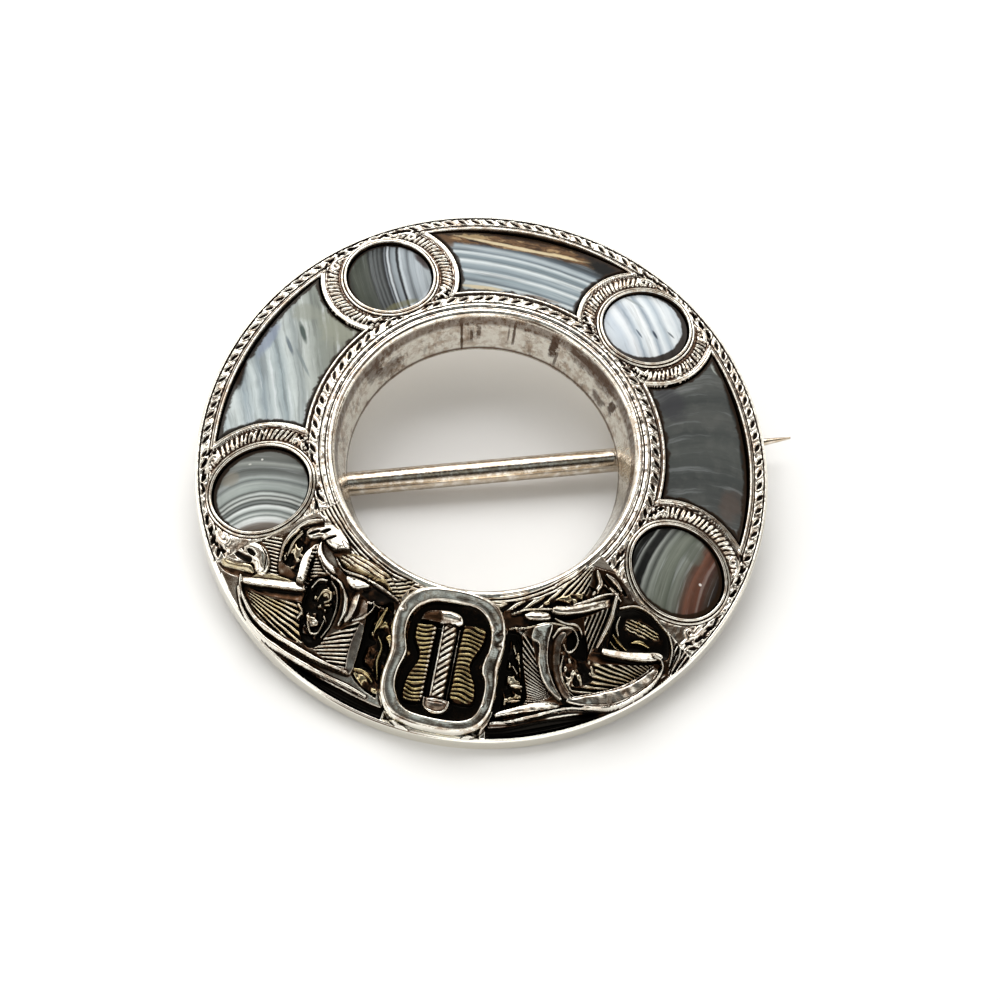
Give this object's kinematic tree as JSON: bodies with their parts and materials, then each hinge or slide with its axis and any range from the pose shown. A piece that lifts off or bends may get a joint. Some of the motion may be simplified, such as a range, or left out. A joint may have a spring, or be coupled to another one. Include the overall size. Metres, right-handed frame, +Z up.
{
  "type": "pebble brooch",
  "caption": "Round silver garter brooch with flat and oval banded agates, a cast buckle and ribbon, and a hinged pin across the back.",
  "frame": {"origin": "middle of the bounding box's foot, on the surface that the brooch rests on", "axes": "+Z up from the surface; the buckle is towards -Y; the brooch leans as it rests by itself, on the foot of its ring, its hinge and its catch"},
  "size_m": [0.0434, 0.042, 0.0082],
  "materials": {
    "silver": "cast and engraved silver, worn bright on top, brown in the hollows",
    "pin_silver": "polished drawn wire, slightly golden",
    "agate_pale": "polished agate, white and blue-grey slanting bands",
    "agate_striped": "polished agate, grey and white bands lengthwise with a brown outer strip",
    "agate_smoky": "polished smoky grey agate, faint bands",
    "agate_wavy": "polished agate, wavy white and grey bands",
    "agate_dark": "polished dark grey agate, fine upright bands",
    "agate_white": "polished white and blue-grey agate, dark slanting lines",
    "agate_brown": "polished agate, black and grey curved bands to red-brown"
  },
  "bodies": {
    "brooch": {"silver_frame": "silver", "hinge_rivet": "silver", "agate_panel_left": "agate_pale", "agate_panel_top": "agate_striped", "agate_panel_right": "agate_smoky", "agate_oval_lower_left": "agate_wavy", "agate_oval_upper_left": "agate_dark", "agate_oval_upper_right": "agate_white", "agate_oval_lower_right": "agate_brown"},
    "pin": {"pin": "pin_silver"}
  },
  "joints": [
    {"name": "pin_hinge", "type": "hinge", "parent": "brooch", "child": "pin", "pos_m": [-0.01621, -0.0045, 0.00117], "axis": [-0.3073, 0.9429, 0.1287], "range_deg": [0, 95]}
  ]
}
